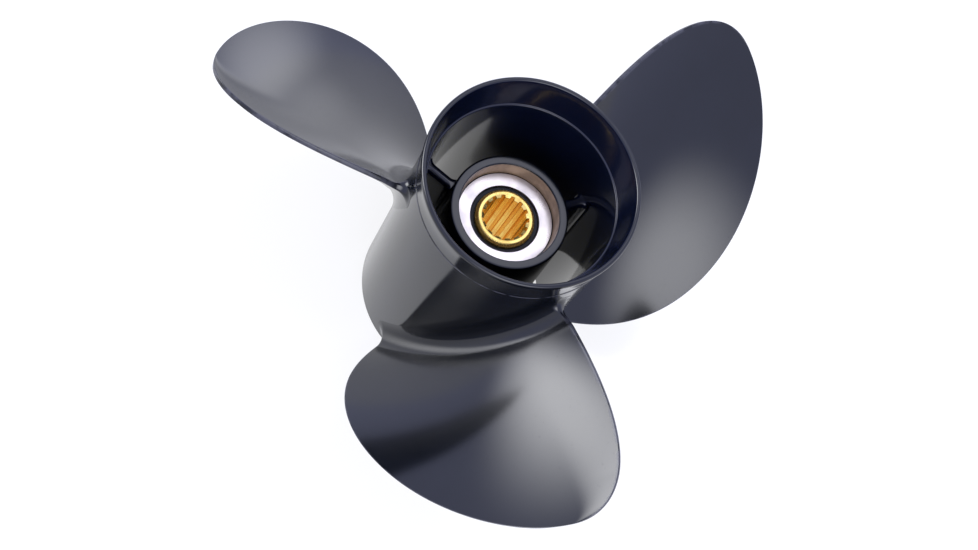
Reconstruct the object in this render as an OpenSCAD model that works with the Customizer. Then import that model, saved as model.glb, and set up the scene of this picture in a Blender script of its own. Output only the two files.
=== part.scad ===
// Three-blade outboard boat propeller with a through-hub exhaust.
// +Z points aft along the shaft. The origin is on the axis, at the forward end of the brass sleeve.
// Millimetres and degrees.

/* [Blades] */
// Diameter of the circle that the blade tips sweep
prop_d = 335; // [325:1:345]
// Distance that the blade face climbs in one turn
pitch = 540; // [500:5:560]
// Height of the blade face over the origin, on the line that the blade angles are counted from
face_z = 63.7; // [60:0.1:67]
// Aft lean of the blade, per millimetre of blade height
rake = 0.427; // [0.35:0.001:0.45]
// How much that lean eases off towards the tip, per square millimetre of blade height
rake_ease = 0.00085; // [0:0.00005:0.0012]
// Angle of the tip behind the counting line
tip_sweep = 15.4; // [12:0.1:18]
// Angle of the leading edge ahead of the counting line, at the barrel
lead_root = 39.8; // [37:0.1:42]
// Growth of the leading edge angle along the blade
lead_gain = 19.4; // [16:0.1:22]
// Fall of the leading edge angle with the square of the place along the blade
lead_curve = 29.5; // [26:0.1:32]
// Angle of the trailing edge behind the counting line, at the barrel
trail_root = 32.2; // [30:0.1:34]
// Fall of the trailing edge angle along the blade
trail_loss = 21.4; // [18:0.1:24]
// Rise of the trailing edge angle with the square of the place along the blade
trail_curve = 6.2; // [4:0.1:8]
// Greatest thickness at the barrel
root_t = 11; // [9:0.5:13]
// Greatest thickness near the tip
tip_t = 4.2; // [3.5:0.1:5]
// Thickness of the blunt trailing edge
edge_t = 2.8; // [2:0.1:3.5]
// Curl of the trailing edge towards the blade face
cup = 3.1; // [0:0.1:5]
// Fillet between the blade face and the barrel
face_fillet = 11; // [6:0.5:12]
// Fillet between the blade back and the barrel
back_fillet = 6; // [3:0.5:8]

/* [Barrel] */
// Place of the front rim, which meets the gearcase
front_z = -5; // [-8:0.5:-4]
// Outer radius at the front rim
front_r = 52.3; // [51.5:0.1:53]
// Inner radius at the front rim
front_bore_r = 50; // [49.5:0.1:50.2]
// Place of the crease where the flare starts
crease_z = 132; // [130:0.5:136]
// Outer radius at the crease
crease_r = 54.7; // [54:0.1:55]
// Inner radius at the crease
crease_bore_r = 49.5; // [49:0.1:50]
// Place of the aft rim
rim_z = 151; // [149:0.5:153]
// Outer radius of the aft rim
rim_r = 57; // [56.5:0.1:58]
// Inner radius of the aft rim
rim_bore_r = 54.3; // [54:0.1:54.8]

/* [Inner hub] */
// Place of the front end
hub_front_z = 4; // [3:0.5:6]
// Place of the aft face
hub_aft_z = 109.8; // [108:0.1:112]
// Outer radius at the aft face
hub_r = 31.6; // [31:0.1:32]
// Draft of the outside: extra radius at the front end
hub_draft = 2; // [0.5:0.1:2.5]
// Radius of the nut recess at the aft face
recess_r = 26.9; // [26.4:0.1:27.4]
// Radius of the nut recess at its floor
recess_floor_r = 26.1; // [25.6:0.1:26.3]
// Place of the recess floor, the bright seat under the nut
seat_z = 100.4; // [99:0.1:102]
// Radius of the hole in the seat
seat_bore_r = 18.5; // [18:0.1:19]
// Thickness of the wall that the seat is turned on
seat_t = 9; // [7:0.5:11]

/* [Webs] */
// Thickness of each web
web_t = 6; // [5:0.5:8]
// Place of the aft edges
web_aft_z = 93; // [88:1:98]
// Place of the front edges
web_front_z = 24; // [18:1:30]

/* [Rubber cushion] */
// Outer radius at the front end
cushion_front_r = 25.5; // [25:0.1:26]
// Outer radius at the aft end
cushion_aft_r = 24.3; // [23.5:0.1:24.5]
// Place of the front end
cushion_front_z = 9; // [8:0.5:12]
// Place of the aft neck's end, just below the seat
cushion_neck_z = 98.6; // [97:0.1:99]

/* [Splined sleeve] */
// Length of the sleeve
sleeve_len = 102.2; // [101:0.1:103]
// Outer radius
sleeve_r = 16; // [15.8:0.1:16.2]
// Radius of the thrust collar at the front end
collar_r = 19.5; // [18.5:0.1:20.5]
// Length of the thrust collar
collar_len = 6; // [4:0.5:7]
// Radius of the plain pilot bore at the front end
pilot_r = 13.5; // [13.2:0.1:14]
// Length of the plain pilot bore
pilot_len = 18; // [14:1:24]
// Number of spline teeth
spline_teeth = 15; // [13:1:17]
// Radius to the tops of the teeth
spline_minor_r = 11.4; // [11.2:0.05:11.6]
// Radius to the bottoms of the grooves
spline_major_r = 12.7; // [12.4:0.05:12.8]

/* [Hidden] */

$fn = 96;
// A hair of extra length, so that no two surfaces only touch
eps = 0.01;
paint = [0.20, 0.22, 0.27];
bare_cast = [0.86, 0.85, 0.84];
black_rubber = [0.05, 0.05, 0.05];
brass = [0.80, 0.60, 0.25];

// Angles of the three blades, and of the webs in line with them
blade_step = 120;
// The rubber keeps this much air round the sleeve, so that it can wind up
cushion_gap = 0.03;
// Edge roundings of the aft rim and of the hub's aft face
rim_round = 1.2;
hub_round = 1.0;
// The outer side of the aft rim rolls over this much earlier than the inner side
rim_fall = 0.6;
// Bevel on the outer edge of the barrel's front rim
front_bevel = 0.6;
// The flare starts gently: over its first stretch it opens by these two amounts
flare_start = 9;
flare_open_out = 0.9;
flare_open_in = 2.9;
// Bevels of the turned brass and of the rubber
bevel = 1.6;
collar_bevel = 0.8;
neck_bevel = 0.8;
// Lead-in cone at the mouth of the splines: its length, and how far it opens past the grooves
lead_in = 0.8;
lead_in_open = 0.2;
// Mouth of a spline groove as a share of one tooth's pitch, and its foot as a share of the mouth
groove_share = 0.55;
groove_taper = 0.72;
// Cutters run on past the surface that they cut by this much
over = 1;

tip_r = prop_d / 2;
root_r = front_r;

// Outer radius of the barrel's cone at a height
function barrel_r(z) = front_r + (crease_r - front_r) * (z - front_z) / (crease_z - front_z);
// Inner radius of the barrel's bore at a height
function bore_r(z) = front_bore_r + (crease_bore_r - front_bore_r) * (z - front_z) / (crease_z - front_z);
// Outer radius of the inner hub at a height
function hub_outer_r(z) = hub_r + hub_draft * (hub_aft_z - z) / (hub_aft_z - hub_front_z);

// ---- blade surface ----
// x runs along the blade, 0 on the barrel and 1 at the tip; s runs along the section, 0 at the leading edge
rows = 26;
side_steps = 20;
// Rows that carry the root fillet, by the angle round the fillet
fillet_turns = [0, 24, 45, 66, 90];
fillet_rows = len(fillet_turns);
blade_h = tip_r - root_r;

function narrowing(x) = sqrt(max(0, 1 - pow(x, 3)));
function lead_angle(x) =
    tip_sweep * x - narrowing(x) * (lead_root + lead_gain * x - lead_curve * x * x);
function trail_angle(x) =
    tip_sweep * x + narrowing(x) * (trail_root - trail_loss * x + trail_curve * x * x);
function lean(x) = rake * blade_h * x - rake_ease * pow(blade_h * x, 2);
// The curl fades towards the tip and towards the barrel
curl_width = 0.2;
tip_fade = 1.5;
root_fade = 8;
function curl(x, s) =
    cup * min(1, tip_fade * narrowing(x), root_fade * x) * pow(max(0, (s - 1 + curl_width) / curl_width), 2);
function face_at(x, angle, s) = face_z + lean(x) + pitch * angle / 360 + curl(x, s);
// The root row lies a little under the barrel's skin
sink = 0.08;
bury = 2.2;
// The trimming cone runs on this far past the front rim
trim_reach = 5;
function row_radius(x, z) = (barrel_r(z) - sink) * (1 - x) + tip_r * x;

// Full thickness of the section, blunt at the trailing edge and round at the leading edge.
// It thins towards the tip a little faster near the barrel, and its belly lies ahead of mid-section
thinning = 0.8;
belly_ahead = 0.85;
belly_fullness = 0.9;
nose_width = 0.05;
function thickness(x, s) =
    let (peak = root_t + (tip_t - root_t) * pow(x, thinning),
         belly = edge_t + (peak - edge_t) * pow(sin(180 * pow(s, belly_ahead)), belly_fullness),
         nose = sqrt(max(0, 1 - pow(1 - min(1, s / nose_width), 2))),
         top = sqrt(max(0, 1 - pow(1 - min(1, blade_h * (1 - x) / (tip_t / 2)), 2))))
    belly * nose * top;

// How far the fillet still reaches sideways at a height over the barrel
function fillet_reach(h, f) = h >= f ? 0 : f - sqrt(max(0, f * f - pow(f - h, 2)));

// Places along the section, closer together at both edges
function chord_place(i) = 0.5 - 0.5 * cos(180 * i / side_steps);

// One section as [arc length round the axis, height]: the face from lead to trail, then the back
function section_flat(x) =
    let (a0 = lead_angle(x), a1 = trail_angle(x), r = root_r + blade_h * x,
         slope = atan2(pitch, 360 * r * PI / 180))
    concat(
        [for (i = [0:side_steps])
            let (s = chord_place(i), a = a0 + (a1 - a0) * s)
            [r * a * PI / 180, face_at(x, a, s)]],
        [for (i = [side_steps:-1:1])
            let (s = chord_place(i), a = a0 + (a1 - a0) * s, t = thickness(x, s))
            [r * a * PI / 180 + t * sin(slope), face_at(x, a, s) - t * cos(slope)]]);

// The section moved outwards by the fillet, more on the face than on the back
function section_filleted(x, h) =
    let (p = section_flat(x), n = len(p), r = root_r + blade_h * x,
         slope = atan2(pitch, 360 * r * PI / 180),
         face_dir = [-sin(slope), cos(slope)])
    [for (i = [0:n - 1])
        let (d = p[(i + 1) % n] - p[(i + n - 1) % n], m = max(norm(d), eps),
             out = [-d[1], d[0]] / m,
             share = 0.5 + 0.5 * (out * face_dir),
             f = back_fillet + (face_fillet - back_fillet) * share)
        p[i] + out * fillet_reach(h, f)];

function row_place(k) =
    k < fillet_rows
        ? face_fillet * (1 - cos(fillet_turns[k])) / blade_h
        : let (x0 = face_fillet / blade_h, v = (k - fillet_rows + 1) / (rows - fillet_rows))
          x0 + (1 - x0) * sin(90 * v);

function row_points(k) =
    let (x = row_place(k), h = blade_h * x, flat = section_filleted(x, h), r0 = root_r + h)
    [for (q = flat)
        let (r = row_radius(x, q[1]), a = q[0] / r0 * 180 / PI)
        [r * cos(a), r * sin(a), q[1]]];

// The root row again, pushed inside the barrel wall, where the cone trims it off
function buried_points() =
    [for (p = row_points(0))
        let (r = norm([p[0], p[1]]), k = (r - bury) / r)
        [p[0] * k, p[1] * k, p[2]]];

module blade_body() {
    per_row = 2 * side_steps + 1;
    points = concat(buried_points(), [for (k = [0:rows - 1]) each row_points(k)],
                    [[tip_r * cos(tip_sweep), tip_r * sin(tip_sweep), face_at(1, tip_sweep, 0)]]);
    last = len(points) - 1;
    sides = [for (k = [0:rows - 1], i = [0:per_row - 1])
        let (j = (i + 1) % per_row, a = k * per_row + i, b = k * per_row + j,
             c = a + per_row, d = b + per_row)
        each [[a, c, b], [b, c, d]]];
    root_cap = [for (i = [1:per_row - 2])
        let (a = i, b = i + 1)
        [0, a, b]];
    tip_fan = [for (i = [0:per_row - 1])
        let (j = (i + 1) % per_row)
        [rows * per_row + i, last, rows * per_row + j]];
    polyhedron(points = points, faces = concat(root_cap, sides, tip_fan), convexity = 6);
}

module blade(n) {
    color(paint)
    rotate([0, 0, blade_step * (n - 1)])
    difference() {
        blade_body();
        rotate_extrude()
            polygon([[0, front_z - trim_reach], [barrel_r(front_z - trim_reach), front_z - trim_reach],
                     [barrel_r(crease_z), crease_z], [0, crease_z]]);
    }
}
module blade_1() { blade(1); }
module blade_2() { blade(2); }
module blade_3() { blade(3); }

// ---- barrel and flare ----
module barrel() {
    color(paint)
    rotate_extrude()
        polygon([[front_bore_r, front_z], [front_r - front_bevel, front_z],
                 [barrel_r(front_z + front_bevel), front_z + front_bevel],
                 [crease_r, crease_z], [crease_bore_r, crease_z]]);
}

// Points of an arc that rounds an edge
arc_steps = 4;
function round_arc(cx, cy, r, from, to) =
    [for (k = [0:arc_steps]) let (a = from + (to - from) * k / arc_steps) [cx + r * cos(a), cy + r * sin(a)]];

module diffuser_ring() {
    color(paint)
    rotate_extrude()
        polygon(concat(
            [[crease_bore_r, crease_z], [crease_r, crease_z],
             [crease_r + flare_open_out, crease_z + flare_start]],
            round_arc(rim_r - rim_round, rim_z - rim_round - rim_fall, rim_round, -10, 90),
            round_arc(rim_bore_r + rim_round, rim_z - rim_round, rim_round, 90, 180),
            [[crease_bore_r + flare_open_in, crease_z + flare_start]]));
}

// ---- inner hub and webs ----
module inner_hub() {
    color(bare_cast)
    rotate_extrude()
        polygon(concat(
            [[cushion_front_r, hub_front_z], [hub_outer_r(hub_front_z), hub_front_z]],
            round_arc(hub_r - hub_round, hub_aft_z - hub_round, hub_round, 0, 90),
            [[recess_r, hub_aft_z], [recess_floor_r, seat_z], [seat_bore_r, seat_z],
             [seat_bore_r, seat_z - seat_t], [cushion_aft_r, seat_z - seat_t],
             [cushion_front_r, cushion_front_z]]));
}

module web(n) {
    below = web_front_z - over;
    above = web_aft_z + over;
    color(paint)
    rotate([0, 0, blade_step * (n - 1)])
    intersection() {
        translate([0, -web_t / 2, web_front_z])
            cube([front_r, web_t, web_aft_z - web_front_z]);
        rotate_extrude()
            polygon([[hub_outer_r(below), below], [bore_r(below), below],
                     [bore_r(above), above], [hub_outer_r(above), above]]);
    }
}
module web_1() { web(1); }
module web_2() { web(2); }
module web_3() { web(3); }

// ---- drive parts ----
module rubber_cushion() {
    bore = sleeve_r + cushion_gap;
    shelf_z = seat_z - seat_t;
    color(black_rubber)
    rotate_extrude()
        polygon([[bore, cushion_front_z], [cushion_front_r, cushion_front_z], [cushion_aft_r, shelf_z],
                 [seat_bore_r, shelf_z], [seat_bore_r, cushion_neck_z - neck_bevel],
                 [seat_bore_r - neck_bevel, cushion_neck_z], [bore, cushion_neck_z]]);
}

module spline_groove() {
    // Each groove is narrower at its bottom than at its mouth
    mouth = 180 / spline_teeth * groove_share;
    foot = mouth * groove_taper;
    inside = spline_minor_r - over / 2;
    polygon([for (c = [[inside, -mouth], [spline_major_r, -foot], [spline_major_r, foot], [inside, mouth]])
        [c[0] * cos(c[1]), c[0] * sin(c[1])]]);
}

module splined_sleeve() {
    color(brass)
    difference() {
        rotate_extrude()
            polygon([[0, 0], [collar_r - collar_bevel, 0], [collar_r, collar_bevel], [collar_r, collar_len],
                     [sleeve_r, collar_len], [sleeve_r, sleeve_len - bevel],
                     [sleeve_r - bevel, sleeve_len], [0, sleeve_len]]);
        translate([0, 0, -eps]) cylinder(r = pilot_r, h = pilot_len + eps);
        translate([0, 0, -over]) cylinder(r = spline_minor_r, h = sleeve_len + 2 * over);
        translate([0, 0, pilot_len - over])
            linear_extrude(sleeve_len - pilot_len + 2 * over)
                for (k = [0:spline_teeth - 1]) rotate(360 / spline_teeth * k) spline_groove();
        translate([0, 0, sleeve_len - lead_in])
            cylinder(r1 = spline_minor_r, r2 = spline_major_r + lead_in_open, h = lead_in + eps);
    }
}

barrel();
diffuser_ring();
inner_hub();
web_1();
web_2();
web_3();
blade_1();
blade_2();
blade_3();
rubber_cushion();
splined_sleeve();
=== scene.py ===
# %% [markdown]
# # A three-blade outboard propeller
# This lesson builds a propeller of the kind that sits on the shaft of an outboard motor. The engine's
# exhaust runs out through its hollow barrel. The real one is an aluminium casting under a coat of dark
# gloss paint, with a rubber cushion pressed inside it and a splined brass sleeve through the rubber.
#
# The measured CAD model comes first, as a frame. Every visible piece made after it stands in for one or
# more CAD nodes and rides on one of its moving bodies.

# %% Load the frame
import math

import bpy
import numpy as np
from mathutils import Matrix, Quaternion, Vector


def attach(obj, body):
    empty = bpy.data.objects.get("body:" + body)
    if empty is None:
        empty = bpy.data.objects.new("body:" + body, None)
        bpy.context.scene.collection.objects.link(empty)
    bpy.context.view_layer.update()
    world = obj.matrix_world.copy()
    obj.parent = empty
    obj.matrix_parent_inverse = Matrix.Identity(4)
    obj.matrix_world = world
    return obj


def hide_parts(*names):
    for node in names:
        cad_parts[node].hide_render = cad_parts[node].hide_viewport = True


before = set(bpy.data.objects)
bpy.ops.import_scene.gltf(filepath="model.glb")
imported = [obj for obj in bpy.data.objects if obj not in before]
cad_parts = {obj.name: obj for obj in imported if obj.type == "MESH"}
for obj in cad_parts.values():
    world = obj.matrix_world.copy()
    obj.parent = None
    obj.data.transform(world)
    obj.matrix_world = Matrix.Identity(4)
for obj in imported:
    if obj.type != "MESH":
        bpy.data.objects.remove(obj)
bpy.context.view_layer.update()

# %% [markdown]
# ## Sizes
# All sizes are in millimetres and degrees, as on a maker's drawing, and one helper turns them into
# Blender's metres at the end. The origin is on the shaft line, at the forward end of the brass sleeve,
# and +Z points aft.
#
# The same few numbers describe every blade. A propeller face is a screw surface: it climbs by the pitch
# in one turn. The two edge curves say where that surface is cut off.

# %% Sizes of the casting and of the drive parts
MM = 0.001

# The blades: their screw surface, their two edges, and how thick they are
TIP_R, PITCH, FACE_Z = 167.5, 540.0, 63.7
RAKE, RAKE_EASE, TIP_SWEEP = 0.427, 0.00085, 15.4
LEAD_ROOT, LEAD_GAIN, LEAD_CURVE = 39.8, 19.4, 29.5
TRAIL_ROOT, TRAIL_LOSS, TRAIL_CURVE = 32.2, 21.4, 6.2
ROOT_T, TIP_T, EDGE_T, CUP = 11.0, 4.2, 2.8, 3.1
FACE_FILLET, BACK_FILLET = 11.0, 6.0

# The barrel, at its front rim, at the crease and at its aft rim
FRONT_Z, FRONT_R, FRONT_BORE_R = -5.0, 52.3, 50.0
CREASE_Z, CREASE_R, CREASE_BORE_R = 132.0, 54.7, 49.5
RIM_Z, RIM_R, RIM_BORE_R = 151.0, 57.0, 54.3

# The inner hub, its nut recess and the webs
HUB_FRONT_Z, HUB_AFT_Z, HUB_R, HUB_DRAFT = 4.0, 109.8, 31.6, 2.0
RECESS_R, RECESS_FLOOR_R, SEAT_Z, SEAT_BORE_R, SEAT_T = 26.9, 26.1, 100.4, 18.5, 9.0
WEB_T, WEB_FRONT_Z, WEB_AFT_Z = 6.0, 24.0, 93.0

# The rubber cushion and the brass sleeve
CUSHION_FRONT_R, CUSHION_AFT_R, CUSHION_FRONT_Z, CUSHION_NECK_Z = 25.5, 24.3, 9.0, 98.6
SLEEVE_R, SLEEVE_LEN, COLLAR_R, COLLAR_LEN = 16.0, 102.2, 19.5, 6.0
PILOT_R, PILOT_LEN, TEETH, MINOR_R, MAJOR_R = 13.5, 18.0, 15, 11.4, 12.7

BLADE_STEP = 120
BLADE_H = TIP_R - FRONT_R
print(f"blade height {BLADE_H:.1f} mm, pitch to diameter {PITCH / (2 * TIP_R):.2f}")

# %% [markdown]
# ## Putting a piece together
# A mesh is a list of points and a list of faces. Each piece below works out its points in millimetres,
# and this one helper makes the Blender object: it smooths the shading, keeps an edge crisp where two
# faces meet at a clear angle, gives the piece its finish, and ties it to the frame.

# %% A helper that turns points and faces into a finished piece
CRISP = math.radians(38)


def finished_piece(name, points, faces, finishes, stands_for, body="casting",
                   face_finish=None, marks=None):
    mesh = bpy.data.meshes.new(name)
    mesh.from_pydata([tuple(p) for p in np.asarray(points) * MM], [], faces)
    mesh.validate()
    mesh.shade_smooth()
    mesh.set_sharp_from_angle(angle=CRISP)
    for finish in finishes:
        mesh.materials.append(finish)
    if face_finish is not None:
        mesh.polygons.foreach_set("material_index", face_finish)
    for mark, values in (marks or {}).items():
        layer = mesh.attributes.new(mark, "FLOAT", "POINT")
        layer.data.foreach_set("value", np.asarray(values, dtype=np.float32))
    piece = bpy.data.objects.new(name, mesh)
    bpy.context.scene.collection.objects.link(piece)
    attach(piece, body)
    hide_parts(*stands_for)
    print(f"{name}: {len(mesh.vertices)} points, {len(mesh.polygons)} faces")


# %% [markdown]
# ## Shader formulas
# A finish is a small formula: a base colour, plus some noise, times some mask. Blender spells such
# formulas as nodes and wires. The three classes here let them be written as plain Python. `Wire` is the
# output of a node, and adding or multiplying wires adds the Math nodes. `Bench` is where nodes are made,
# and its `node` method makes any other kind. `Finish` is a bench that holds one material.

# %% Wires that can be used in sums
class Wire:
    def __init__(self, finish, socket):
        self.finish, self.socket = finish, socket

    def _sum(self, how, left, right):
        return self.finish.node("ShaderNodeMath", {"operation": how}, {0: left, 1: right})

    def __add__(self, other):
        return self._sum("ADD", self, other)

    __radd__ = __add__

    def __sub__(self, other):
        return self._sum("SUBTRACT", self, other)

    def __rsub__(self, other):
        return self._sum("SUBTRACT", other, self)

    def __mul__(self, other):
        return self._sum("MULTIPLY", self, other)

    __rmul__ = __mul__


# %% A bench where nodes are made and wired
class Bench:
    def __init__(self, owner):
        owner.use_nodes = True
        self.tree = owner.node_tree
        self.tree.nodes.clear()

    def feed(self, socket, value):
        if isinstance(value, Wire):
            self.tree.links.new(value.socket, socket)
        else:
            socket.default_value = value

    def node(self, kind, settings=None, sockets=None, out=0):
        made = self.tree.nodes.new(kind)
        for key, value in (settings or {}).items():
            setattr(made, key, value)
        for key, value in (sockets or {}).items():
            self.feed(made.inputs[key], value)
        return None if out is None else Wire(self, made.outputs[out])

    def fade(self, wire, low, high, to_low=0.0, to_high=1.0):
        return self.node("ShaderNodeMapRange", {"interpolation_type": "SMOOTHSTEP"},
                         {"Value": wire, 1: low, 2: high, 3: to_low, 4: to_high})

    def length(self, wire, scale):
        flat = self.node("ShaderNodeVectorMath", {"operation": "MULTIPLY"}, {0: wire, 1: scale})
        return self.node("ShaderNodeVectorMath", {"operation": "LENGTH"}, {0: flat}, out=1)


# %% One finish on its bench
class Finish(Bench):
    def __init__(self, name, **settings):
        self.material = bpy.data.materials.new(name)
        super().__init__(self.material)
        self.shader = self.tree.nodes.new("ShaderNodeBsdfPrincipled")
        self.node("ShaderNodeOutputMaterial", None, {0: Wire(self, self.shader.outputs[0])}, out=None)
        self.set(**settings)

    def set(self, **settings):
        for key, value in settings.items():
            self.feed(self.shader.inputs[key.replace("_", " ").title().replace("Ior", "IOR")], value)

    def place(self):
        return self.node("ShaderNodeTexCoord", out=3)

    def noise(self, scale, detail, roughness=0.5, stretch=(1, 1, 1)):
        spot = self.node("ShaderNodeMapping", None, {"Vector": self.place(), "Scale": stretch})
        return self.node("ShaderNodeTexNoise", None,
                         {"Vector": spot, "Scale": scale, "Detail": detail, "Roughness": roughness})

    def blend(self, share, first, second):
        return self.node("ShaderNodeMix", {"data_type": "RGBA"}, {0: share, 6: first, 7: second}, out=2)

    def mark(self, name):
        return self.node("ShaderNodeAttribute", {"attribute_name": name}, out=2)

    def bumps(self, height, distance):
        return self.node("ShaderNodeBump", None, {"Distance": distance, "Height": height})


# %% [markdown]
# ## Gloss paint over cast aluminium
# The casting is sprayed with a dark slate enamel. It is smooth but not perfect: the gloss has the soft
# ripple that painters call orange peel, the tone drifts a little from place to place, and fine dust sits
# in it. The enamel's own gloss is a clear coat over a rougher coloured layer, so the Coat sockets carry
# the sharp reflections and the base below stays broad and soft.

# %% Slate enamel
def colour(r, g, b):
    return (r, g, b, 1.0)


# The second tone is a painted highlight for marked edges
DUST_TONE, EDGE_HIGHLIGHT_TONE = colour(0.03, 0.03, 0.035), colour(0.055, 0.055, 0.065)


def slate_enamel(name, deep, light, coat_rough):
    paint = Finish(name, coat_roughness=coat_rough, coat_ior=1.38, specular_ior_level=0.0)
    drift = paint.fade(paint.noise(26.0, 4.0, 0.55), 0.35, 0.65)
    dust = paint.fade(paint.noise(900.0, 2.0, 0.6), 0.66, 0.80)
    # The lighter tone along the edge mark is a painted highlight, for the light line that rounded edges
    # catch; the coat is thinned there too
    edge_highlight = paint.fade(paint.mark("edge"), 0.55, 1.0) * paint.fade(paint.noise(160.0, 3.0), 0.34, 0.56)
    tone = paint.blend(drift, deep, light)
    tone = paint.blend(dust * 0.2, tone, DUST_TONE)
    tone = paint.blend(edge_highlight * 0.55, tone, EDGE_HIGHLIGHT_TONE)
    peel = paint.noise(420.0, 2.0, 0.5)
    fine = paint.noise(2600.0, 1.0, 0.5)
    paint.set(base_color=tone,
              roughness=0.34 + 0.10 * drift + 0.15 * dust,
              coat_weight=1.0 - 0.5 * dust - 0.35 * edge_highlight,
              normal=paint.bumps(peel + 0.25 * fine, 0.00003))
    return paint.material


slate = slate_enamel("slate_enamel", deep=colour(0.0004, 0.0008, 0.0018),
                     light=colour(0.0010, 0.0015, 0.0030), coat_rough=0.14)
# The inside copy is the same enamel made lighter and bluer, painted light that lifts the shaded passages
inside_lit_slate = slate_enamel("slate_enamel_lit_inside", deep=colour(0.0012, 0.0020, 0.0060),
                           light=colour(0.0018, 0.0028, 0.0080), coat_rough=0.10)
print("paint finishes:", slate.name, inside_lit_slate.name)

# %% [markdown]
# ## Bare metal, rubber and brass
# The recess for the nut has a warm brown wall, and its floor, the seat under the nut, is bright
# turned aluminium with fine rings.
# The rubber is dull black with a faint mould texture. The sleeve is yellow brass: turned on its end
# face, and broached along the bore. The bore's brass is a brighter copy, painted light that lifts the shaded
# bore, and the bottoms of the grooves are painted darker as painted shade.

# %% Turned rings, as a height
def turned_rings(finish, per_mm):
    radius = finish.length(finish.place(), (1.0, 1.0, 0.0))
    jitter = finish.noise(60.0, 2.0) * 0.0002
    turns = (radius + jitter) * (per_mm * 2 * math.pi / MM)
    return finish.node("ShaderNodeMath", {"operation": "SINE"}, {0: turns})


# %% Bright turned aluminium
def turned_aluminium():
    metal = Finish("turned_aluminium", metallic=1.0)
    rings = turned_rings(metal, 3.0)
    smear = metal.fade(metal.noise(70.0, 4.0), 0.40, 0.66)
    metal.set(base_color=metal.blend(smear, colour(0.52, 0.475, 0.43), colour(0.47, 0.43, 0.385)),
              roughness=0.30 + 0.12 * smear + 0.04 * rings,
              normal=metal.bumps(rings, 0.000004))
    return metal.material


bright_seat = turned_aluminium()


# %% Warm brown on the recess wall
def recess_wall_brown():
    wall = Finish("recess_wall_brown", metallic=0.25)
    stain = wall.fade(wall.noise(110.0, 4.0, 0.6), 0.38, 0.64)
    wall.set(base_color=wall.blend(stain, colour(0.235, 0.155, 0.09), colour(0.175, 0.115, 0.07)),
             roughness=0.42 + 0.15 * stain,
             normal=wall.bumps(turned_rings(wall, 1.6), 0.00001))
    return wall.material


brown_wall = recess_wall_brown()


# %% Black rubber
def moulded_rubber():
    rubber = Finish("moulded_rubber", ior=1.5, specular_ior_level=0.3)
    grain = rubber.noise(1400.0, 3.0, 0.6)
    bloom = rubber.fade(rubber.noise(90.0, 3.0), 0.45, 0.70)
    rubber.set(base_color=rubber.blend(bloom, colour(0.003, 0.003, 0.003), colour(0.008, 0.008, 0.008)),
               roughness=0.58 + 0.18 * bloom,
               normal=rubber.bumps(grain, 0.00004))
    return rubber.material


black_rubber = moulded_rubber()


# %% Turned and broached brass
# Painted shade for the bottoms of the spline grooves
GROOVE_SHADE_TONE = colour(0.88, 0.55, 0.17)


def yellow_brass(name, clean, dull, roughness, turned):
    brass = Finish(name, metallic=1.0)
    tarnish = brass.fade(brass.noise(120.0, 4.0, 0.6), 0.42, 0.66)
    if turned:
        lines = turned_rings(brass, 3.5)
    else:
        lines = brass.noise(1500.0, 2.0, 0.5, (1.0, 1.0, 0.02))
    tone = brass.blend(tarnish, clean, dull)
    # The groove mark blends in the painted shade at the groove bottoms
    tone = brass.blend(brass.mark("groove"), tone, GROOVE_SHADE_TONE)
    brass.set(base_color=tone,
              roughness=roughness + 0.12 * tarnish,
              normal=brass.bumps(lines, 0.000006 if turned else 0.00002))
    return brass.material


turned_brass = yellow_brass("turned_brass", clean=colour(0.62, 0.44, 0.13),
                            dull=colour(0.50, 0.34, 0.09), roughness=0.24, turned=True)
# The bore's brass is a brighter copy of the same brass, painted light that lifts the shaded bore
bore_lit_brass = yellow_brass("bore_lit_brass", clean=colour(1.0, 0.86, 0.46),
                              dull=colour(1.0, 0.78, 0.36), roughness=0.12, turned=False)
print("metals:", bright_seat.name, brown_wall.name, turned_brass.name, bore_lit_brass.name)

# %% [markdown]
# ## Lathe work
# The barrel, the inner hub, the rubber and the seat are all round about the shaft, so each is a
# profile spun round it. Cast and turned edges are never knife-sharp. The profile is therefore drawn
# with plain corners and a radius at each, and a helper replaces every corner by a small curve.

# %% Profiles with rounded corners
CORNER_STEPS = 6
# A rounding stops just short of the middle of its side, so that two of them never cross
MOST_OF_HALF = 0.49


def soft_corner(start, corner, end, steps):
    """A curve from start to end that is pulled towards the corner."""
    turns = np.linspace(0, 1, steps + 1)[:, None]
    return (1 - turns) ** 2 * start + 2 * turns * (1 - turns) * corner + turns ** 2 * end


def corner_curve(before, corner, after, radius):
    arms = [before - corner, after - corner]
    reach = [min(radius, MOST_OF_HALF * np.linalg.norm(arm)) * arm / np.linalg.norm(arm) for arm in arms]
    return soft_corner(corner + reach[0], corner, corner + reach[1], CORNER_STEPS)


def rounded_profile(corners):
    """corners are (radius from the axis, height, rounding, finish of the wall that follows)."""
    points, finish = [], []
    spots = [np.array(corner[:2]) for corner in corners]
    for k, (_, _, rounding, index) in enumerate(corners):
        curve = [spots[k]]
        if rounding:
            curve = corner_curve(spots[k - 1], spots[k], spots[(k + 1) % len(spots)], rounding)
        points.extend(curve)
        finish.extend([corners[k - 1][3]] * (len(curve) // 2) + [index] * (len(curve) - len(curve) // 2))
    return np.array(points), finish


def spun(corners, around=288):
    """Points, faces and the finish of each face for a closed profile spun about the shaft."""
    profile, finish = rounded_profile(corners)
    turn = np.radians(np.arange(around) * 360 / around)
    points = np.stack([np.outer(np.cos(turn), profile[:, 0]), np.outer(np.sin(turn), profile[:, 0]),
                       np.broadcast_to(profile[:, 1], (around, len(profile)))], axis=-1).reshape(-1, 3)
    n = len(profile)
    faces = []
    for k in range(around):
        this, following = k * n, (k + 1) % around * n
        faces += [(this + i, this + (i + 1) % n, following + (i + 1) % n, following + i) for i in range(n)]
    return points, faces, finish * around


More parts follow.
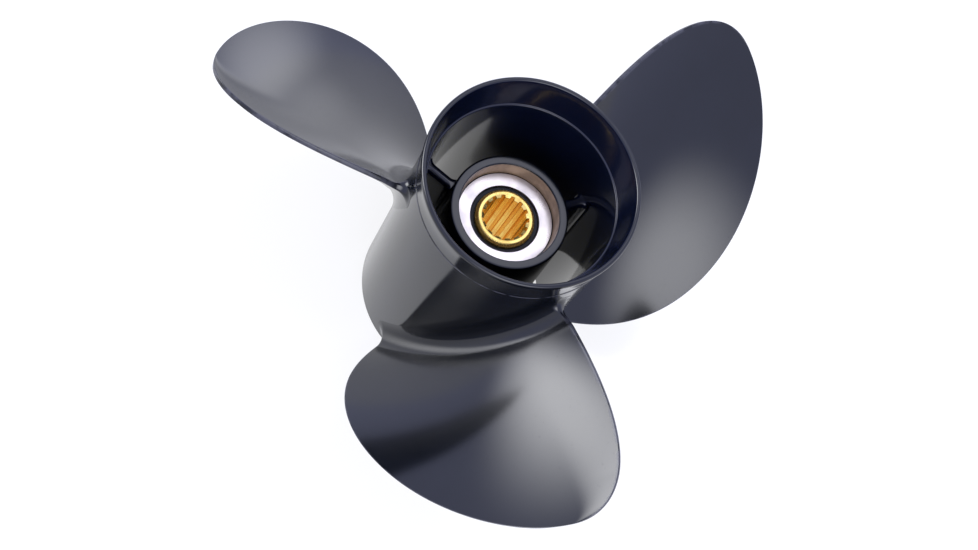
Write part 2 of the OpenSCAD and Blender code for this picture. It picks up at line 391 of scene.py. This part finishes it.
# %% [markdown]
# ## The barrel
# One casting carries the blades outside and the exhaust inside. It is very slightly conical, and aft of
# a crease it flares out into the diffuser ring, which keeps exhaust from being drawn back over the blades.
# Outside, a fine bead runs round the crease, with a lighter broken line on it that is a painted highlight.
# Inside, the crease is a narrow step. The aft rim is rounded over.

# %% Spin the barrel
BEAD_H, BEAD_W, BEAD_ROUND = 0.4, 0.7, 0.3
# The painted highlight goes where the bead stands this proud, as far as this from its middle
HIGHLIGHT_PROUD, HIGHLIGHT_REACH = 0.15, 0.6
STEP_W = 1.0
# The flare: where it is under way, how far its two walls have opened there, and its rounding
FLARE_START, FLARE_OPEN_OUT, FLARE_OPEN_IN, FLARE_ROUND = 9, 0.9, 2.9, 6.0


def barrel_r(z):
    return FRONT_R + (CREASE_R - FRONT_R) * (z - FRONT_Z) / (CREASE_Z - FRONT_Z)


def barrel_casting():
    front_outside = [(FRONT_R, FRONT_Z, 0.6, 0)]
    bead = [
        (CREASE_R - 0.1, CREASE_Z - 2 * BEAD_W, BEAD_ROUND, 0),
        (CREASE_R + BEAD_H, CREASE_Z - BEAD_W, BEAD_ROUND, 0),
        (CREASE_R + 0.05, CREASE_Z + 0.1, BEAD_ROUND, 0),
    ]
    flare_and_rim = [
        (CREASE_R + FLARE_OPEN_OUT, CREASE_Z + FLARE_START, FLARE_ROUND, 0),
        (RIM_R, RIM_Z - 1.6, 1.4, 0),
        (RIM_R - 0.7, RIM_Z, 1.1, 0),
        (RIM_BORE_R, RIM_Z, 1.3, 1),
        (CREASE_BORE_R + FLARE_OPEN_IN, CREASE_Z + FLARE_START, FLARE_ROUND, 1),
    ]
    step_and_bore = [
        (CREASE_BORE_R + STEP_W, CREASE_Z + 0.2, 0.3, 1),
        (CREASE_BORE_R, CREASE_Z - 0.1, 0.9, 1),
        (FRONT_BORE_R, FRONT_Z, 0.5, 1),
    ]
    points, faces, finish = spun(front_outside + bead + flare_and_rim + step_and_bore)
    # The edge mark on the bead carries the painted highlight line
    proud = np.hypot(points[:, 0], points[:, 1]) > CREASE_R + HIGHLIGHT_PROUD
    on_bead = proud & (np.abs(points[:, 2] - CREASE_Z + BEAD_W) < HIGHLIGHT_REACH)
    finished_piece("barrel_casting", points, faces, [slate, inside_lit_slate],
                   ["barrel", "diffuser_ring"], face_finish=finish, marks={"edge": on_bead})


barrel_casting()

# %% [markdown]
# ## The inner hub
# Inside the barrel a second, smaller tube holds the rubber. Its outside is painted with the rest. Its
# aft end is a flat ring with softened edges, and inside that is the recess for the nut. The paint
# runs a little way over the recess's lip, and a fine undercut rings the seat, where the tool turned.

# %% Spin the inner hub
PAINTED_LIP, UNDERCUT_DEEP, UNDERCUT_WIDE = 1.1, 0.5, 0.6


def inner_hub_casting():
    shelf = SEAT_Z - SEAT_T
    corners = [
        (HUB_R + HUB_DRAFT, HUB_FRONT_Z, 0.8, 0),
        (HUB_R, HUB_AFT_Z, 1.3, 0),
        (RECESS_R, HUB_AFT_Z, 0.6, 0),
        (RECESS_R - 0.1, HUB_AFT_Z - PAINTED_LIP, 0.1, 1),
        (RECESS_FLOOR_R, SEAT_Z - UNDERCUT_DEEP, 0, 0),
        (RECESS_FLOOR_R - UNDERCUT_WIDE, SEAT_Z - UNDERCUT_DEEP, 0, 0),
        (RECESS_FLOOR_R - UNDERCUT_WIDE, SEAT_Z, 0.15, 2),
        (SEAT_BORE_R, SEAT_Z, 0.4, 2),
        (SEAT_BORE_R, shelf, 0, 2),
        (CUSHION_AFT_R, shelf, 0, 2),
        (CUSHION_FRONT_R, CUSHION_FRONT_Z, 0, 2),
        (CUSHION_FRONT_R, HUB_FRONT_Z, 0.4, 0),
    ]
    points, faces, finish = spun(corners)
    finished_piece("inner_hub_casting", points, faces, [slate, brown_wall, bright_seat],
                   ["inner_hub"], face_finish=finish)


inner_hub_casting()

# %% [markdown]
# ## The webs
# Three plates join the inner hub to the barrel, one in line with each blade, and leave three curved
# passages for the exhaust. A casting needs generous fillets where a plate meets a wall, so each plate
# is drawn as a stack of outlines that widen at both ends, and the aft edge is rolled over.

# %% Stack the outlines of one web
WALL_FILLET, FRONT_ROLL, AFT_ROLL = 4.5, 1.5, 2.9
# Both ends of a web are sunk this far into the walls
WEB_SINK = 0.5
# The straight stretch starts and stops short of the rolled edges
CLEAR_FRONT, CLEAR_AFT = 5, 4


def hub_outer_r(z):
    return HUB_R + HUB_DRAFT * (HUB_AFT_Z - z) / (HUB_AFT_Z - HUB_FRONT_Z)


def bore_r(z):
    return FRONT_BORE_R + (CREASE_BORE_R - FRONT_BORE_R) * (z - FRONT_Z) / (CREASE_Z - FRONT_Z)


def web_points(angle):
    """Outlines of one web, stacked from front to aft and turned to its angle."""
    roll = np.radians(np.linspace(0, 90, 9))
    levels = [(WEB_FRONT_Z + FRONT_ROLL * (1 - math.sin(t)), FRONT_ROLL * (1 - math.cos(t)))
              for t in roll[::-1]]
    levels += [(z, 0.0) for z in np.linspace(WEB_FRONT_Z + CLEAR_FRONT, WEB_AFT_Z - AFT_ROLL - CLEAR_AFT, 6)]
    levels += [(WEB_AFT_Z - AFT_ROLL * (1 - math.sin(t)), AFT_ROLL * (1 - math.cos(t))) for t in roll]
    along = np.concatenate([np.linspace(0, 0.35, 12), np.linspace(0.4, 0.6, 4), np.linspace(0.65, 1, 12)])
    points = []
    for z, thin in levels:
        inner, outer = hub_outer_r(z) - WEB_SINK, bore_r(z) + WEB_SINK
        r = inner + (outer - inner) * along
        gap = np.minimum(r - inner, outer - r)
        rise = np.clip(WALL_FILLET - gap, 0, WALL_FILLET)
        half = WEB_T / 2 - thin + WALL_FILLET - np.sqrt(WALL_FILLET ** 2 - rise ** 2)
        side = np.stack([r, half, np.full_like(r, z)], axis=-1)
        points.append(np.concatenate([side, (side * [1, -1, 1])[::-1]]))
    c, s = math.cos(angle), math.sin(angle)
    return np.array(points) @ np.array([[c, s, 0], [-s, c, 0], [0, 0, 1]])


def web_casting(number):
    rings = web_points(math.radians(BLADE_STEP * (number - 1)))
    levels, n = rings.shape[:2]
    faces = [(k * n + i, (k + 1) * n + i, (k + 1) * n + (i + 1) % n, k * n + (i + 1) % n)
             for k in range(levels - 1) for i in range(n)]
    half = n // 2
    for base, flip in ((0, False), ((levels - 1) * n, True)):
        for i in range(half - 1):
            face = (base + i, base + i + 1, base + n - 2 - i, base + n - 1 - i)
            faces.append(face[::-1] if flip else face)
    finished_piece(f"web_casting_{number}", rings.reshape(-1, 3), faces, [inside_lit_slate],
                   [f"web_{number}"])


for number in (1, 2, 3):
    web_casting(number)

# %% [markdown]
# ## The blades
# A blade is a stack of sections. Each section follows the screw surface on its pressure face, and is
# thickened on the back like a wing. Three things make it look cast and hand-finished: the root swells
# into the barrel through a fillet, the trailing edge is blunt with two softened corners, and it curls
# up slightly, which is called the cup.
#
# Sections are drawn flat first, as length round the shaft against height, and are then wrapped round
# the shaft at their own radius.

# %% The surface of a blade, as formulas
# The cup curls the last fifth of the section, and fades out towards the tip and the root
CUP_WIDTH, CUP_TIP_FADE, CUP_ROOT_FADE = 0.2, 1.5, 8
# How the thickness falls along the blade, and where the section is fullest and roundest
THINNING, BELLY_AHEAD, BELLY_FULLNESS, NOSE_WIDTH = 0.8, 0.85, 0.9, 0.05


def narrowing(x):
    return math.sqrt(max(0.0, 1 - x ** 3))


def lead_angle(x):
    return TIP_SWEEP * x - narrowing(x) * (LEAD_ROOT + LEAD_GAIN * x - LEAD_CURVE * x * x)


def trail_angle(x):
    return TIP_SWEEP * x + narrowing(x) * (TRAIL_ROOT - TRAIL_LOSS * x + TRAIL_CURVE * x * x)


def face_line(x, s):
    """Points of the pressure face at places s from lead (0) to trail (1), as [length, height]."""
    a = lead_angle(x) + (trail_angle(x) - lead_angle(x)) * s
    fade = min(1.0, CUP_TIP_FADE * narrowing(x), CUP_ROOT_FADE * x)
    curl = CUP * fade * np.maximum(0, (s - 1 + CUP_WIDTH) / CUP_WIDTH) ** 2
    z = FACE_Z + RAKE * BLADE_H * x - RAKE_EASE * (BLADE_H * x) ** 2 + PITCH * a / 360 + curl
    return np.stack([np.radians(a) * (FRONT_R + BLADE_H * x), z], axis=-1)


def thickness(x, s):
    peak = ROOT_T + (TIP_T - ROOT_T) * x ** THINNING
    belly = EDGE_T + (peak - EDGE_T) * np.sin(np.pi * s ** BELLY_AHEAD) ** BELLY_FULLNESS
    nose = np.sqrt(np.maximum(0, 1 - (1 - np.minimum(1, s / NOSE_WIDTH)) ** 2))
    top = math.sqrt(max(0.0, 1 - (1 - min(1.0, BLADE_H * (1 - x) / (TIP_T / 2))) ** 2))
    return belly * nose * top


# %% One section with soft corners
LEAD_SOFT, FACE_CORNER, BACK_CORNER = 0.5, 0.7, 0.9
EDGE_STEPS = 5
# The back starts this share of the way along, so that the leading edge is round and not folded
NOSE_START = 0.004
# The painted edge highlight reaches this far in from each edge
HIGHLIGHT_WIDTH = 3


def section(x, across=56):
    """The outline of the section, how near each point is to an edge, and the way that the face looks."""
    slope = math.atan2(PITCH, 2 * math.pi * (FRONT_R + BLADE_H * x))
    down = np.array([math.sin(slope), -math.cos(slope)])

    def face(s):
        return face_line(x, np.atleast_1d(s))

    def back(s):
        s = np.atleast_1d(s)
        return face_line(x, s) + thickness(x, s)[:, None] * down

    chord = max(np.linalg.norm(face(1.0) - face(0.0)), 1e-3)
    lead, near, far = (min(0.2, soft / chord) for soft in (LEAD_SOFT, FACE_CORNER, BACK_CORNER))
    blunt = max(np.linalg.norm(back(1.0) - face(1.0)), 1e-3)
    low, high = min(0.45, FACE_CORNER / blunt), min(0.45, BACK_CORNER / blunt)
    spread = 0.5 - 0.5 * np.cos(np.linspace(0, np.pi, across))
    end = [face(1.0) + share * (back(1.0) - face(1.0)) for share in (low, 1 - high)]
    outline = np.concatenate([
        face(lead + (1 - near - lead) * spread),
        soft_corner(face(1 - near), face(1.0), end[0], EDGE_STEPS)[1:],
        soft_corner(end[1], back(1.0), back(1 - far), EDGE_STEPS),
        back(NOSE_START + (1 - far - NOSE_START) * spread[::-1])[1:],
        soft_corner(back(NOSE_START), face(0.0), face(lead), EDGE_STEPS)[1:-1],
    ])
    # Near each edge the mark rises to 1, where the enamel lays on its painted highlight
    side = 1 - np.minimum(1, np.minimum(spread, 1 - spread) * chord / HIGHLIGHT_WIDTH)
    edge = np.concatenate([side, np.ones(2 * EDGE_STEPS + 1), side[::-1][1:], np.ones(EDGE_STEPS - 1)])
    return outline, edge, -down


# %% Fillet at the root
def with_fillet(outline, face_way, height):
    """The section pushed outwards near the barrel, further on the face than on the back."""
    along = np.roll(outline, -1, axis=0) - np.roll(outline, 1, axis=0)
    out = np.stack([-along[:, 1], along[:, 0]], axis=-1)
    out /= np.maximum(np.linalg.norm(out, axis=1), 1e-6)[:, None]
    size = BACK_FILLET + (FACE_FILLET - BACK_FILLET) * (0.5 + 0.5 * out @ face_way)
    left = np.clip(size - height, 0, None)
    return outline + out * np.where(height < size, size - np.sqrt(size ** 2 - left ** 2), 0)[:, None]


# %% Stack the sections into a blade
# A first, buried row closes the root inside the barrel's wall, and the painted edge highlight fades in over
# the root
ROOT_SINK, HIGHLIGHT_START = 1.3, 0.1


def blade_points(rows=84, fillet_rows=14):
    start = FACE_FILLET / BLADE_H
    places = [start * (1 - math.cos(t)) for t in np.radians(np.linspace(0, 90, fillet_rows))]
    places += [start + (1 - start) * math.sin(math.pi / 2 * k / rows) for k in range(1, rows)]
    rings, marks = [], []
    for k, x in enumerate([places[0]] + places):
        outline, edge, face_way = section(x)
        outline = with_fillet(outline, face_way, BLADE_H * x)
        radius = barrel_r(outline[:, 1]) * (1 - x) + TIP_R * x - (ROOT_SINK if k == 0 else 0)
        turn = outline[:, 0] / (FRONT_R + BLADE_H * x)
        rings.append(np.stack([radius * np.cos(turn), radius * np.sin(turn), outline[:, 1]], axis=-1))
        marks.append(edge * min(1, x / HIGHLIGHT_START))
    return np.array(rings), np.concatenate(marks)


def blade_casting(number):
    rings, marks = blade_points()
    levels, n = rings.shape[:2]
    faces = [(k * n + i, k * n + (i + 1) % n, (k + 1) * n + (i + 1) % n, (k + 1) * n + i)
             for k in range(levels - 1) for i in range(n)]
    tip_turn = math.radians(TIP_SWEEP)
    tip_z = face_line(1.0, np.array([0.0]))[0, 1]
    tip = [TIP_R * math.cos(tip_turn), TIP_R * math.sin(tip_turn), tip_z]
    last = levels * n
    faces += [((levels - 1) * n + i, (levels - 1) * n + (i + 1) % n, last) for i in range(n)]
    c, s = (f(math.radians(BLADE_STEP * (number - 1))) for f in (math.cos, math.sin))
    points = np.concatenate([rings.reshape(-1, 3), [tip]]) @ np.array([[c, s, 0], [-s, c, 0], [0, 0, 1]])
    finished_piece(f"blade_casting_{number}", points, faces, [slate], [f"blade_{number}"],
                   marks={"edge": np.append(marks, 1.0)})


for number in (1, 2, 3):
    blade_casting(number)

# %% [markdown]
# ## The rubber cushion
# The engine turns the sleeve, the sleeve turns the rubber, and the rubber turns the casting. The rubber
# slips before a blade strike can break a gear. Only its aft end shows, as a black ring round the brass.

# %% Spin the rubber
SLEEVE_AIR = 0.03


def rubber_ring():
    bore, shelf = SLEEVE_R + SLEEVE_AIR, SEAT_Z - SEAT_T
    corners = [
        (CUSHION_FRONT_R, CUSHION_FRONT_Z, 0.6, 0),
        (CUSHION_AFT_R, shelf, 0.1, 0),
        (SEAT_BORE_R, shelf, 0.1, 0),
        (SEAT_BORE_R, CUSHION_NECK_Z, 0.8, 0),
        (bore, CUSHION_NECK_Z, 0.3, 0),
        (bore, CUSHION_FRONT_Z, 0.3, 0),
    ]
    points, faces, finish = spun(corners, 192)
    finished_piece("rubber_ring", points, faces, [black_rubber], ["rubber_cushion"],
                   face_finish=finish)


rubber_ring()

# %% [markdown]
# ## The brass sleeve
# The sleeve slides over the shaft. A broach cuts its splines, which are grooves that run the whole
# length of the bore. Every outline of the sleeve, outside and inside, uses the same number of points,
# so the whole piece is one stack of loops that goes down the outside and back up the bore.

# %% Stack the loops of the sleeve
PER_TOOTH = 32
CHAMFER, COLLAR_CHAMFER = 1.6, 0.8
# The lead-in cone: its length, and how far it opens past the grooves
LEAD_IN, LEAD_OPEN = 0.8, 0.2
# A groove is flat out to one angle from its middle, and its flank takes up the next
GROOVE_HALF, FLANK = 4.0, 2.2


def spline_r(turn):
    """Radius of the broached bore at an angle in degrees."""
    pitch = 360 / TEETH
    off = np.abs((turn + pitch / 2) % pitch - pitch / 2)
    flank = np.clip((off - GROOVE_HALF) / FLANK, 0, 1)
    return MAJOR_R + (MINOR_R - MAJOR_R) * (3 * flank ** 2 - 2 * flank ** 3)


def brass_sleeve():
    count = TEETH * PER_TOOTH
    turn = np.arange(count) * 360 / count
    soft = 0.35
    loops = [(PILOT_R + soft, 0), (COLLAR_R - COLLAR_CHAMFER, 0), (COLLAR_R - 0.15, 0.3), (COLLAR_R, 0.9),
             (COLLAR_R, COLLAR_LEN - 0.3), (COLLAR_R - 0.3, COLLAR_LEN), (SLEEVE_R, COLLAR_LEN)]
    loops += [(SLEEVE_R, z) for z in (40, 70, SLEEVE_LEN - CHAMFER - 0.15)]
    loops += [(SLEEVE_R - 0.1, SLEEVE_LEN - CHAMFER + 0.2), (SLEEVE_R - CHAMFER + 0.2, SLEEVE_LEN - 0.1),
              (SLEEVE_R - CHAMFER - 0.15, SLEEVE_LEN)]
    stack = [(np.full(count, r), z, 0) for r, z in loops]
    wide = MAJOR_R + LEAD_OPEN
    for share in np.linspace(0, 1, 9):
        cone = wide + (MINOR_R - wide) * share
        stack.append((np.maximum(spline_r(turn), cone), SLEEVE_LEN - LEAD_IN * share, 0))
    stack += [(spline_r(turn), z, 1) for z in np.linspace(SLEEVE_LEN - LEAD_IN - 0.6, PILOT_LEN, 8)]
    stack += [(np.full(count, PILOT_R), PILOT_LEN, 1), (np.full(count, PILOT_R), soft, 1)]
    points = np.concatenate([np.stack([r * np.cos(np.radians(turn)), r * np.sin(np.radians(turn)),
                                       np.full(count, float(z))], axis=-1) for r, z, _ in stack])
    # How deep each bore point sits: 1 at the groove bottoms, where the painted shade goes
    deep = np.concatenate([(r - MINOR_R) / (MAJOR_R - MINOR_R) if index else 0 * r for r, _, index in stack])
    faces, finish = [], []
    for k, (_, _, index) in enumerate(stack):
        a, b = k * count, ((k + 1) % len(stack)) * count
        faces += [(a + i, a + (i + 1) % count, b + (i + 1) % count, b + i) for i in range(count)]
        finish += [index] * count
    finished_piece("brass_sleeve", points, faces, [turned_brass, bore_lit_brass],
                   ["splined_sleeve"], body="sleeve", face_finish=finish,
                   marks={"groove": np.clip(deep, 0, 1)})


brass_sleeve()

# %% [markdown]
# ## Floor, light and camera
# Small castings are often shown on a lit white table, so that every side has light on it and the
# background drops out. The floor here is such a table: white acrylic that glows evenly. Large soft
# lights above it draw the broad reflections that show how a blade curves.

# %% The lit table
TABLE_HALF, TABLE_GAP = 6.0, 0.0002


def lit_table():
    mesh = bpy.data.meshes.new("white_table")
    z = FRONT_Z * MM - TABLE_GAP
    corners = [(x * TABLE_HALF, y * TABLE_HALF, z) for x, y in ((-1, -1), (1, -1), (1, 1), (-1, 1))]
    mesh.from_pydata(corners, [], [(0, 1, 2, 3)])
    acrylic = Finish("white_acrylic", roughness=0.22, emission_strength=0.80,
                     emission_color=colour(1.0, 1.0, 1.0), base_color=colour(0.1, 0.1, 0.1))
    mesh.materials.append(acrylic.material)
    table = bpy.data.objects.new("white_table", mesh)
    bpy.context.scene.collection.objects.link(table)
    return table


print("floor:", lit_table().name)

# %% [markdown]
# A softbox is brightest in its middle and fades to its edges, so its reflection on gloss paint has no
# hard outline. Each light below is placed by its bearing and height as seen from the propeller, and its
# brightness is that of its middle. A pale, cool surround fills in the rest.

# %% Soft lights
AIM = Vector((0.0, 0.0, 0.07))
SOFTBOXES = {
    "side_softbox": {"bearing": -107, "height": 20, "size": (1.4, 1.8), "brightness": 14.5},
    "right_softbox": {"bearing": 4, "height": 36, "size": (2.0, 1.4), "brightness": 8.0},
    "left_softbox": {"bearing": 160, "height": 4, "size": (0.5, 0.4), "brightness": 3.0, "distance": 0.9},
    "top_softbox": {"bearing": 156, "height": 64, "size": (1.1, 1.1), "brightness": 2.2},
}
SURROUND, SURROUND_STRENGTH = (0.65, 0.69, 1.0, 1.0), 2.3


def direction(bearing, height):
    """The way to look from the propeller, as a bearing and a height in degrees."""
    b, h = math.radians(bearing), math.radians(height)
    return Vector((math.cos(b) * math.cos(h), math.sin(b) * math.cos(h), math.sin(h)))


def softbox(name, bearing, height, size, brightness, distance=1.5):
    light = bpy.data.lights.new(name, "AREA")
    light.shape, light.size, light.size_y = "RECTANGLE", size[0], size[1]
    light.energy = brightness * math.pi * size[0] * size[1]
    bench = Bench(light)
    spot = bench.node("ShaderNodeNewGeometry", out=5)
    middle = bench.node("ShaderNodeVectorMath", {"operation": "SUBTRACT"}, {0: spot, 1: (0.5, 0.5, 0.0)})
    glow = bench.fade(bench.length(middle, (2.0, 2.0, 0.0)), 0.15, 1.0, 1.0, 0.0)
    lamp = bench.node("ShaderNodeEmission", None, {"Strength": glow})
    bench.node("ShaderNodeOutputLight", None, {0: lamp}, out=None)
    away = direction(bearing, height)
    made = bpy.data.objects.new(name, light)
    made.location = AIM + away * distance
    made.rotation_euler = away.to_track_quat("Z", "Y").to_euler()
    bpy.context.scene.collection.objects.link(made)


for name, settings in SOFTBOXES.items():
    softbox(name, **settings)

world = bpy.data.worlds.new("studio")
bpy.context.scene.world = world
world.use_nodes = True
world.node_tree.nodes["Background"].inputs["Color"].default_value = SURROUND
world.node_tree.nodes["Background"].inputs["Strength"].default_value = SURROUND_STRENGTH
print("lights:", ", ".join(SOFTBOXES))

# %% [markdown]
# The camera looks down into the barrel from aft, a little to one side, so that the splines, the rim and
# all three blades show at once. Its turn is given as for a light, by a bearing and a height, and then it
# is rolled about its own line of sight. A slightly long lens keeps the blades from looking stretched.

# %% The camera
CAMERA_PLACE = (0.4256, -0.2130, 0.9995)
CAMERA_BEARING, CAMERA_HEIGHT, CAMERA_ROLL = -27.968, 63.688, 37.992
CAMERA_LENS = 72.55


def stand_camera():
    camera = bpy.data.cameras.new("camera")
    camera.lens, camera.sensor_width = CAMERA_LENS, 36.0
    camera.clip_start, camera.clip_end = 0.01, 50.0
    made = bpy.data.objects.new("camera", camera)
    level = direction(CAMERA_BEARING, CAMERA_HEIGHT).to_track_quat("Z", "Y")
    turn = level @ Quaternion((0, 0, 1), math.radians(CAMERA_ROLL))
    made.matrix_world = Matrix.Translation(Vector(CAMERA_PLACE)) @ turn.to_matrix().to_4x4()
    bpy.context.scene.collection.objects.link(made)
    bpy.context.scene.camera = made
    return made


print(f"camera lens: {stand_camera().data.lens:.1f} mm")
bpy.context.scene.view_settings.view_transform = "Standard"
